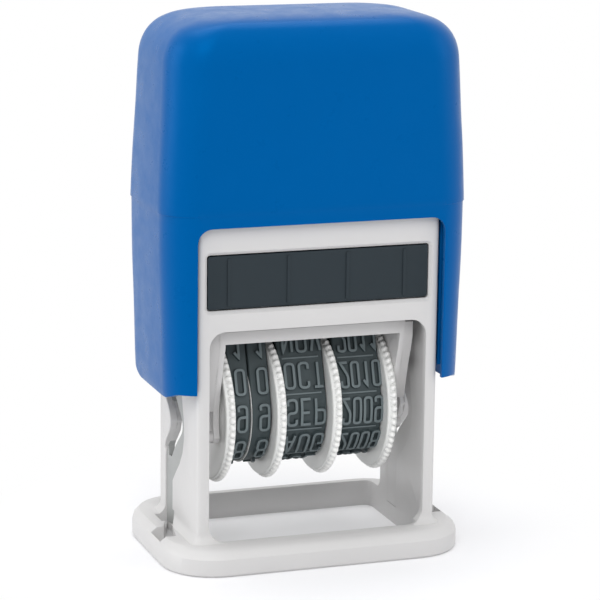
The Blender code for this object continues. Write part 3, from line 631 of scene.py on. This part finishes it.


def rim_rings():
    """Rings of (x from the disc's left face, radius, share of a bead's width) over the rim."""
    ground = DISC_R - BEAD_RISE
    rings = [(0.03, ground - 0.2, 1.0), (0.1, ground, 1.0), (0.28, ground + 0.04, 1.0)]
    for k in range(BEAD_STEPS + 1):
        across = -1.0 + 2.0 * k / BEAD_STEPS
        rings.append((BEAD_X + BEAD_HALF * across, ground, abs(across)))
    return rings


def wheel_rings(disc, hub_end):
    """Closed half section of a wheel as (x, radius, share of a bead), drum on either side."""
    plate_is_left = hub_end > disc
    left, right = (PLATE, DRUM[::-1]) if plate_is_left else (DRUM[::-1], PLATE)
    rings = [(disc + x, r, 1.0) for x, r in left]
    rings += [(disc + x, r, across) for x, r, across in rim_rings()]
    rings += [(disc + DISC_T - x, r, 1.0) for x, r in right[::-1]]
    end = [(hub_end, HUB_R, 1.0), (hub_end, BORE_R, 1.0)]
    if disc == DISC_X[0]:
        x0, x1 = FLANGE_X - FLANGE_HALF, FLANGE_X + FLANGE_HALF
        end = [(x0, HUB_R, 1.0), (x0, FLANGE_R, 1.0), (x1, FLANGE_R, 1.0), (x1, BORE_R, 1.0)]
    return rings + end if plate_is_left else end[::-1] + rings


class STAMP_OT_wheels(bpy.types.Operator):
    """Build the four beaded thumbwheels with their drums"""
    bl_idname = "stamp.wheels"
    bl_label = "Thumbwheels"

    def execute(self, context):
        finish = context.scene.stamp_finishes
        # turned by thumbs: smooth and a little shiny; the crowns of the beads are paler as a
        # painted highlight
        light = moulded_plastic("pom_light_wheel", finish.wheel, srgb("E9EAE8"), 0.38, 0.25, 0.1)
        crown_highlight = moulded_plastic("pom_bead_painted_highlight", srgb("FAFAF8"), srgb("F6F6F4"), 0.3, 0.25,
                                 0.05)
        for name, disc, hub_end in zip(BAND_NAMES, DISC_X, HUB_END):
            bm = self.beaded_wheel(wheel_rings(disc, hub_end))
            wheel = finish_mesh(bm, f"wheel_{name}", [light, crown_highlight], 50.0)
            settle(wheel, f"wheel_{name}", "wheel_plastic", f"thumbwheel_{name}")
        return {"FINISHED"}

    def beaded_wheel(self, rings):
        """Turn a half section round the axle and swell its rim into ball beads."""
        bm = bmesh.new()
        count = KNURLS * PER_BEAD
        rows, crowned = [], set()
        for x, r, across in rings:
            row = []
            for k in range(count):
                a = 2 * math.pi * k / count
                along = (2.0 * (k % PER_BEAD) / PER_BEAD - 1.0) * BEAD_GAP
                ball = math.sqrt(max(1.0 - across ** 2 - along ** 2, 0.0))
                radius = r + BEAD_RISE * ball
                row.append(bm.verts.new((x, AXLE_Y + radius * math.cos(a),
                                         AXLE_Z + radius * math.sin(a))))
                # the high part of each bead takes the paler material: a painted highlight
                if ball > BEAD_CROWN:
                    crowned.add(row[-1])
            rows.append(row)
        rows.append(rows[0])
        for low, high in zip(rows, rows[1:]):
            for i in range(count):
                j = (i + 1) % count
                face = bm.faces.new((low[i], low[j], high[j], high[i]))
                face.material_index = 1 if crowned.intersection(face.verts) else 0
        return bm


# Date bands -------------------------------------------------------------------

def band_path(offset):
    """Total length, and point with outward direction at a length, of the band line."""
    r_drum, r_nose = BAND_INNER + offset, NOSE_R + offset
    drum = Vector((AXLE_Y, AXLE_Z))

    def side(sign):
        corner = Vector((NOSE_Y + sign * NOSE_HALF, NOSE_Z))
        apart = corner - drum
        lean = math.asin((r_drum - r_nose) / apart.length)
        base = math.atan2(apart.y, apart.x)
        return corner, base - sign * (math.pi / 2 - lean)

    def point(centre, radius, angle):
        return centre + radius * Vector((math.cos(angle), math.sin(angle)))

    front, a_front = side(-1)
    back, a_back = side(1)
    up = math.pi / 2
    start = Vector((NOSE_Y, NOSE_Z + r_nose))
    spans = [("line", start, point(front, r_nose, up)),
             ("arc", front, r_nose, up, a_front),
             ("line", point(front, r_nose, a_front), point(drum, r_drum, a_front)),
             ("arc", drum, r_drum, a_front, a_back + 2 * math.pi),
             ("line", point(drum, r_drum, a_back), point(back, r_nose, a_back)),
             ("arc", back, r_nose, a_back, up),
             ("line", point(back, r_nose, up), start)]
    lengths = [(p[2] - p[1]).length if p[0] == "line" else abs(p[4] - p[3]) * p[2]
               for p in spans]
    total = sum(lengths)

    def sample(s):
        s = s % total
        for span, length in zip(spans, lengths):
            if s <= length or span is spans[-1]:
                t = s / length
                if span[0] == "arc":
                    a = span[3] + (span[4] - span[3]) * t
                    out = Vector((math.cos(a), math.sin(a)))
                    return span[1] + span[2] * out, out
                along = (span[2] - span[1]).normalized()
                return span[1] + (span[2] - span[1]) * t, Vector((along.y, -along.x))
            s -= length

    return total, sample


BAND_T, BAND_EDGE, BELT_STEPS = 0.9, 0.12, 180

# Rows of type from the one on the nose down the front, so the values fall
DAYS = ("3", "2", "1", "0", "9", "8", "7", "6", "5", "4", "", "", "")
MONTHS = ("JAN", "DEC", "NOV", "OCT", "SEP", "AUG", "JUL", "JUN", "MAY", "APR", "MAR", "FEB",
          "")
YEARS = ("2013", "2012", "2011", "2010", "2009", "2008", "2007", "2006", "2005", "2004", "",
         "", "")
ROW_DROP = (0.45, 0.45, 0.1, 0.5)          # that the rows stand past an even count from the nose
LETTER_WIDTH = (1.6, 1.6, 1.65, 1.36)      # outer width of a character on each band
LETTER_PITCH = (0.0, 0.0, 2.08, 1.6)       # a band of single characters has no pitch
LETTER_SHIFT = (0.1, 0.3, 0.15, 0.35)      # to the right of the band's middle
ROW_LINE_ENDS = (0.5, 0.7)                 # bare ends of the line between two rows
ROW_LINE_WIDTH, ROW_LINE_RISE = 0.6, 0.16  # by a stroke's width, and in millimetres

STROKE_WIDTH, STROKE_BASE = 0.36, 0.5      # of a raised stroke: on its face and at its foot
STROKE_SECTION = (                         # width there, share of the relief
    (-STROKE_BASE, -0.08), (-STROKE_WIDTH, 0.92), (0.0, 1.0), (STROKE_WIDTH, 0.92),
    (STROKE_BASE, -0.08))
STROKE_FACES = (1, 2)                      # the spans of the section on top, coloured paler as a painted highlight
STROKE_STEP = 0.6                          # a longer run is divided, to bend with the band
CORNER_STEPS, CORNER_PUSH = 5, 0.12        # of a rounded corner
MERGE_WITHIN = 0.01                        # points of a stroke this near each other are one
MITRE_LEAST = 0.6                          # keeps a sharp corner from growing a long point

BOWL = 0.5           # corner radius of a round stroke, for a character one wide


def ring(y0, y1):
    """Closed round stroke between two heights."""
    return ((0, y0, BOWL), (1, y0, BOWL), (1, y1, BOWL), (0, y1, BOWL), "closed")


# Strokes of each character on a grid one wide and two high: (x, y) or (x, y, corner radius)
STROKES = {
    "0": (ring(0, 2),),
    "1": (((0.1, 1.5), (0.6, 2), (0.6, 0)),),
    "2": (((0, 1.5), (0, 2, BOWL), (1, 2, BOWL), (1, 1.1, 0.4), (0, 0), (1, 0)),),
    "3": (((0, 1.6), (0, 2, BOWL), (1, 2, BOWL), (1, 1.05, 0.4), (0.4, 1.05)),
          ((0.4, 1.05), (1, 1.05, 0.4), (1, 0, BOWL), (0, 0, BOWL), (0, 0.4))),
    "4": (((0.55, 2), (0, 0.5), (1, 0.5)), ((0.75, 1.1), (0.75, 0))),
    "5": (((0.95, 2), (0.1, 2), (0.05, 1.15), (1, 1.15, BOWL), (1, 0, BOWL), (0, 0, BOWL),
           (0, 0.4)),),
    "6": (((0.95, 1.6), (1, 2, BOWL), (0, 2, BOWL), (0, 0, BOWL), (1, 0, BOWL),
           (1, 1.15, BOWL), (0.05, 1.15)),),
    "7": (((0, 2), (1, 2), (0.35, 0)),),
    "8": (ring(1.05, 2), ring(0, 1.05)),
    "9": (((0.05, 0.4), (0, 0, BOWL), (1, 0, BOWL), (1, 2, BOWL), (0, 2, BOWL),
           (0, 0.85, BOWL), (0.95, 0.85)),),
    "A": (((0, 0), (0.5, 2), (1, 0)), ((0.16, 0.6), (0.84, 0.6))),
    "B": (((0, 1.05), (0, 2), (1, 2, 0.45), (1, 1.05, 0.45), (0, 1.05), (0, 0), (1, 0, BOWL),
           (1, 1.05, BOWL), (0.3, 1.05)),),
    "C": (((1, 1.5), (1, 2, BOWL), (0, 2, BOWL), (0, 0, BOWL), (1, 0, BOWL), (1, 0.5)),),
    "D": (((0, 0), (1, 0, BOWL), (1, 2, BOWL), (0, 2), "closed"),),
    "E": (((1, 2), (0, 2), (0, 0), (1, 0)), ((0, 1.05), (0.85, 1.05))),
    "F": (((1, 2), (0, 2), (0, 0)), ((0, 1.05), (0.85, 1.05))),
    "G": (((1, 1.5), (1, 2, BOWL), (0, 2, BOWL), (0, 0, BOWL), (1, 0, BOWL), (1, 1),
           (0.5, 1)),),
    "J": (((1, 2), (1, 0, BOWL), (0, 0, BOWL), (0, 0.5)),),
    "L": (((0, 2), (0, 0), (1, 0)),),
    "M": (((0, 0), (0, 2), (0.5, 0.8), (1, 2), (1, 0)),),
    "N": (((0, 0), (0, 2), (1, 0), (1, 2)),),
    "O": (ring(0, 2),),
    "P": (((0, 0), (0, 2), (1, 2, BOWL), (1, 0.9, BOWL), (0, 0.9)),),
    "R": (((0, 0), (0, 2), (1, 2, BOWL), (1, 0.95, BOWL), (0, 0.95)), ((0.45, 0.95), (1, 0))),
    "S": (((1, 1.55), (1, 2, BOWL), (0, 2, BOWL), (0, 1.02, 0.48), (1, 1.02, 0.48),
           (1, 0, BOWL), (0, 0, BOWL), (0, 0.45)),),
    "T": (((0, 2), (1, 2)), ((0.5, 2), (0.5, 0))),
    "U": (((0, 2), (0, 0, BOWL), (1, 0, BOWL), (1, 2)),),
    "V": (((0, 2), (0.5, 0), (1, 2)),),
    "Y": (((0, 2), (0.5, 0.95), (1, 2)), ((0.5, 0.95), (0.5, 0))),
}


def stroke_line(stroke, wide, high):
    """Points of a stroke in millimetres, its corners rounded and its long runs divided."""
    closed = stroke[-1] == "closed"
    grid = stroke[:-1] if closed else stroke
    corners = [(Vector((p[0] * wide, p[1] * high / 2)), (p[2] if len(p) > 2 else 0.0) * wide)
               for p in grid]
    count = len(corners)
    rounded = []
    for i, (here, radius) in enumerate(corners):
        if radius == 0.0 or (not closed and i in (0, count - 1)):
            rounded.append(here)
            continue
        before, after = corners[i - 1][0] - here, corners[(i + 1) % count][0] - here
        a = here + before.normalized() * min(radius, before.length * 0.5)
        b = here + after.normalized() * min(radius, after.length * 0.5)
        for k in range(CORNER_STEPS + 1):
            # a quadratic curve pushed further from its chord: a little squarer than an arc
            t = k / CORNER_STEPS
            curve = (1 - t) ** 2 * a + 2 * t * (1 - t) * here + t ** 2 * b
            rounded.append(curve + (curve - a.lerp(b, t)) * CORNER_PUSH)
    points = []
    last = len(rounded) if closed else len(rounded) - 1
    for i in range(last):
        a, b = rounded[i], rounded[(i + 1) % len(rounded)]
        if (b - a).length < MERGE_WITHIN:
            continue
        parts = max(1, math.ceil((b - a).length / STROKE_STEP))
        points += [a.lerp(b, k / parts) for k in range(parts)]
    if not closed:
        points.append(rounded[-1])
    return points, closed


def add_stroke(bm, points, closed, place):
    """Raise a ridge along a line; `place` maps across, along and height to a point."""
    count = len(points)
    rows = []
    for i, here in enumerate(points):
        before = points[i - 1] if closed or i else here
        after = points[(i + 1) % count] if closed or i < count - 1 else here
        a, b = here - before, after - here
        a = a.normalized() if a.length else b.normalized()
        b = b.normalized() if b.length else a
        way = (a + b).normalized() if (a + b).length > MERGE_WITHIN else b
        reach = 1.0 / max(way.dot(b), MITRE_LEAST)
        across = Vector((way.y, -way.x)) * reach
        rows.append([bm.verts.new(place(here + across * side / 2, lift))
                     for side, lift in STROKE_SECTION])
    spans = list(zip(rows, rows[1:])) + ([(rows[-1], rows[0])] if closed else [])
    sides = len(STROKE_SECTION)
    for low, high in spans:
        for i in range(sides):
            j = (i + 1) % sides
            face = bm.faces.new((low[i], low[j], high[j], high[i]))
            face.material_index = 1 if i in STROKE_FACES else 0
    if not closed:
        bm.faces.new(rows[0])
        bm.faces.new(list(reversed(rows[-1])))


def add_character(bm, letter, centre, width, middle, sample, relief):
    """Raise one character on a band, head down and bent along the band's line."""
    wide, high = width - STROKE_WIDTH, TYPE_HEIGHT - STROKE_WIDTH

    def place(point, lift):
        spot, out = sample(middle + point.y - high / 2)
        spot = spot + relief * lift * out
        return centre + point.x - wide / 2, spot.x, spot.y

    for stroke in STROKES[letter]:
        points, closed = stroke_line(stroke, wide, high)
        add_stroke(bm, points, closed, place)


class STAMP_OT_bands(bpy.types.Operator):
    """Build the four rubber date bands with raised characters, heads down"""
    bl_idname = "stamp.bands"
    bl_label = "Date bands"

    def execute(self, context):
        finish = context.scene.stamp_finishes
        rubber = self.rubber("vulcanised_rubber", finish.rubber, srgb("303B3E"))
        # the tops of the type and of the row lines take a paler rubber: a painted highlight
        face = self.rubber("type_face_painted_highlight", finish.print_face, srgb("5E696C"))
        total, sample = band_path(BAND_T)
        pitch = total / BAND_ROWS
        relief = context.scene.stamp_sizes.type_relief / MM
        tables = (DAYS, DAYS, MONTHS, YEARS)
        for name, (x0, x1), table, width, step, shift, drop in zip(
                BAND_NAMES, BAND_X, tables, LETTER_WIDTH, LETTER_PITCH, LETTER_SHIFT, ROW_DROP):
            bm = self.belt(x0, x1, total, sample)
            for row, text in enumerate(table):
                for k, letter in enumerate(text):
                    centre = (x0 + x1) / 2 + shift + (k - (len(text) - 1) / 2) * step
                    add_character(bm, letter, centre, width, row * pitch + drop, sample,
                                  relief)
                if step:
                    self.row_line(bm, x0, x1, (row + 0.5) * pitch + drop, sample)
            band = finish_mesh(bm, f"date_band_{name}", [rubber, face], 30.0)
            settle(band, "carriage", "band_rubber", f"band_{name}")
        return {"FINISHED"}

    def row_line(self, bm, x0, x1, middle, sample):
        """Low raised line that parts two rows of type."""
        def place(point, lift):
            spot, out = sample(middle + point.y * ROW_LINE_WIDTH)
            spot = spot + ROW_LINE_RISE * lift * out
            return point.x, spot.x, spot.y

        start, end = x0 + ROW_LINE_ENDS[0], x1 - ROW_LINE_ENDS[1]
        points = [Vector((start + (end - start) * k / 4, 0.0)) for k in range(5)]
        add_stroke(bm, points, False, place)

    def belt(self, x0, x1, total, sample):
        """Endless belt with softly rounded sides."""
        bm = bmesh.new()
        section = ((x0, -BAND_T), (x0, -BAND_EDGE), (x0 + BAND_EDGE, 0.0), (x1 - BAND_EDGE, 0.0),
                   (x1, -BAND_EDGE), (x1, -BAND_T))
        rows = []
        for k in range(BELT_STEPS):
            p, out = sample(total * k / BELT_STEPS)
            rows.append([bm.verts.new((x, *(p + d * out))) for x, d in section])
        rows.append(rows[0])
        for low, high in zip(rows, rows[1:]):
            for i in range(len(section)):
                j = (i + 1) % len(section)
                bm.faces.new((low[i], low[j], high[j], high[i]))
        return bm

    def rubber(self, name, colour, shade):
        """Vulcanised rubber, moulded: dusty blotches and a fine dull grain."""
        material, tree, shader = principled(name)
        place = add_node(tree, "ShaderNodeTexCoord").outputs["Object"]
        dust = add_node(tree, "ShaderNodeTexNoise",
                        {"Vector": place, "Scale": per_mm(2.2), "Detail": 5.0,
                         "Roughness": 0.7})
        tint = add_node(tree, "ShaderNodeMix",
                        {"Factor": dust.outputs["Fac"], "A": colour, "B": shade},
                        data_type="RGBA")
        grain = add_node(tree, "ShaderNodeTexNoise",
                         {"Vector": place, "Scale": per_mm(0.22), "Detail": 3.0})
        bump = add_node(tree, "ShaderNodeBump",
                        {"Height": grain.outputs["Fac"], "Strength": 0.35,
                         "Distance": 0.04 * MM})
        set_inputs(tree, shader, {"Base Color": tint.outputs["Result"], "Roughness": 0.62,
                                  "Normal": bump.outputs["Normal"], "IOR": 1.52})
        return material


# Stage ------------------------------------------------------------------------

CAMERA_YAW, CAMERA_RISE, CAMERA_ROLL = -19.389, 12.597, 0.69   # degrees
CAMERA_DISTANCE, CAMERA_TARGET = 377.351, (0.618, 0.0, 34.762)  # millimetres
FLOOR_FADE = (24.0, 48.0)       # distance over which the floor's shade fades to white
FLOOR_LIFT, FILL = 0.15, 0.55   # glow beside the stamp, and the world's light on it
# Softboxes: name, place and aim in metres, width, height, share of the stage's power
LAMPS = (("key", (-0.16, -0.42, 0.42), (0, 0, 0.04), 0.34, 0.34, 1.1),
         ("left", (-0.5, 0.06, 0.2), (0, 0, 0.05), 0.3, 0.4, 0.8),
         ("right", (0.42, -0.3, 0.2), (0, 0, 0.04), 0.3, 0.3, 0.35),
         ("top", (0.0, 0.05, 0.5), (0, 0, 0.06), 0.4, 0.3, 0.9))


class STAMP_OT_stage(bpy.types.Operator):
    """Set up the floor, soft studio lights, world and camera"""
    bl_idname = "stamp.stage"
    bl_label = "Stage"

    def execute(self, context):
        scene = context.scene
        self.floor()
        self.world(scene)
        for name, place, aim, width, height, share in LAMPS:
            self.lamp(name, Vector(place), Vector(aim), width, height,
                      share * scene.stamp_stage.power)
        self.camera(scene)
        scene.view_settings.view_transform = "Standard"
        return {"FINISHED"}

    def floor(self):
        """Wide pale paper, matt, that keeps the soft shadow and is lost in white further out."""
        bm = bmesh.new()
        bmesh.ops.create_grid(bm, x_segments=8, y_segments=8, size=3000.0)
        material, tree, shader = principled("pale_paper_floor")
        set_inputs(tree, shader, {"Base Color": srgb("F6F6F8"), "Roughness": 0.9,
                                  "Specular IOR Level": 0.2})
        place = add_node(tree, "ShaderNodeTexCoord").outputs["Object"]
        away = add_node(tree, "ShaderNodeVectorMath", {0: place}, operation="LENGTH")
        share = add_node(tree, "ShaderNodeMapRange",
                         {"Value": away.outputs["Value"], "From Min": FLOOR_FADE[0] * MM,
                          "From Max": FLOOR_FADE[1] * MM, "To Min": FLOOR_LIFT, "To Max": 1.0},
                         interpolation_type="SMOOTHSTEP")
        part = add_node(tree, "ShaderNodeMath", {0: self.seen(tree), 1: share.outputs[0]},
                        operation="MULTIPLY")
        glow = add_node(tree, "ShaderNodeEmission", {"Color": (1.0, 1.0, 1.0, 1.0)})
        lift = add_node(tree, "ShaderNodeMixShader",
                        {0: part.outputs[0], 1: shader.outputs[0], 2: glow.outputs[0]})
        set_inputs(tree, tree.nodes["Material Output"], {"Surface": lift.outputs[0]})
        finish_mesh(bm, "ground", [material])

    def seen(self, tree):
        """One for what is seen directly, in a reflection or through glass, else nothing."""
        path = add_node(tree, "ShaderNodeLightPath")
        either = add_node(tree, "ShaderNodeMath",
                          {0: path.outputs["Is Camera Ray"], 1: path.outputs["Is Glossy Ray"]},
                          operation="MAXIMUM")
        return add_node(tree, "ShaderNodeMath",
                        {0: either.outputs[0], 1: path.outputs["Is Transmission Ray"]},
                        operation="MAXIMUM").outputs[0]

    def world(self, scene):
        """White to the camera and in reflections, a plain soft fill for everything else."""
        scene.world = scene.world or bpy.data.worlds.new("studio")
        scene.world.use_nodes = True
        tree = scene.world.node_tree
        tree.nodes.clear()
        strength = add_node(tree, "ShaderNodeMapRange",
                            {"Value": self.seen(tree), "To Min": FILL, "To Max": 1.0})
        sky = add_node(tree, "ShaderNodeBackground",
                       {"Color": (1.0, 1.0, 1.0, 1.0), "Strength": strength.outputs["Result"]})
        add_node(tree, "ShaderNodeOutputWorld", {"Surface": sky.outputs[0]})

    def lamp(self, name, place, aim, width, height, power):
        """One rectangular softbox."""
        data = bpy.data.lights.new(name, "AREA")
        data.shape = "RECTANGLE"
        data.size, data.size_y = width, height
        data.energy = power
        lamp = bpy.data.objects.new(name, data)
        lamp.location = place
        lamp.rotation_euler = (aim - place).to_track_quat("-Z", "Y").to_euler()
        bpy.context.scene.collection.objects.link(lamp)

    def camera(self, scene):
        """Camera at the viewing angle of the picture."""
        yaw, rise, roll = (math.radians(v) for v in (CAMERA_YAW, CAMERA_RISE, CAMERA_ROLL))
        back = Vector((math.sin(yaw) * math.cos(rise), -math.cos(yaw) * math.cos(rise),
                       math.sin(rise)))
        right = Vector((math.cos(yaw), math.sin(yaw), 0.0))
        up = back.cross(right)
        right, up = (math.cos(roll) * right + math.sin(roll) * up,
                     -math.sin(roll) * right + math.cos(roll) * up)
        spot = (Vector(CAMERA_TARGET) + back * CAMERA_DISTANCE) * MM
        data = bpy.data.cameras.new("camera")
        data.lens = scene.stamp_stage.lens
        data.sensor_width = 36.0
        camera = bpy.data.objects.new("camera", data)
        pose = Matrix((right, up, back)).transposed().to_4x4()
        pose.translation = spot
        camera.matrix_world = pose
        scene.collection.objects.link(camera)
        scene.camera = camera


# Panel and registration -------------------------------------------------------

class VIEW3D_PT_stamp(bpy.types.Panel):
    """Sidebar list of the stamp's operators"""
    bl_idname = "VIEW3D_PT_stamp"
    bl_label = "Mini date stamp"
    bl_space_type = "VIEW_3D"
    bl_region_type = "UI"
    bl_category = "Stamp"

    def draw(self, context):
        for group in ("stamp_finishes", "stamp_sizes", "stamp_stage"):
            settings = getattr(context.scene, group)
            for key in settings.__annotations__:
                self.layout.prop(settings, key)
        for operator in OPERATORS:
            self.layout.operator(operator.bl_idname)


OPERATORS = (STAMP_OT_frame, STAMP_OT_cap, STAMP_OT_tray, STAMP_OT_carriage, STAMP_OT_wheels,
             STAMP_OT_bands, STAMP_OT_stage)
GROUPS = {"stamp_finishes": StampFinishes, "stamp_sizes": StampSizes, "stamp_stage": StampStage}


def register():
    """Register every class and hang the settings on the scene."""
    for cls in (*GROUPS.values(), *OPERATORS, VIEW3D_PT_stamp):
        bpy.utils.register_class(cls)
    for name, cls in GROUPS.items():
        setattr(bpy.types.Scene, name, bpy.props.PointerProperty(type=cls))


def unregister():
    """Take the settings and classes away again."""
    for name in GROUPS:
        delattr(bpy.types.Scene, name)
    for cls in reversed((*GROUPS.values(), *OPERATORS, VIEW3D_PT_stamp)):
        bpy.utils.unregister_class(cls)


def main():
    """Build everything in order."""
    register()
    for operator in OPERATORS:
        group, name = operator.bl_idname.split(".")
        getattr(getattr(bpy.ops, group), name)()


if __name__ == "__main__":
    main()
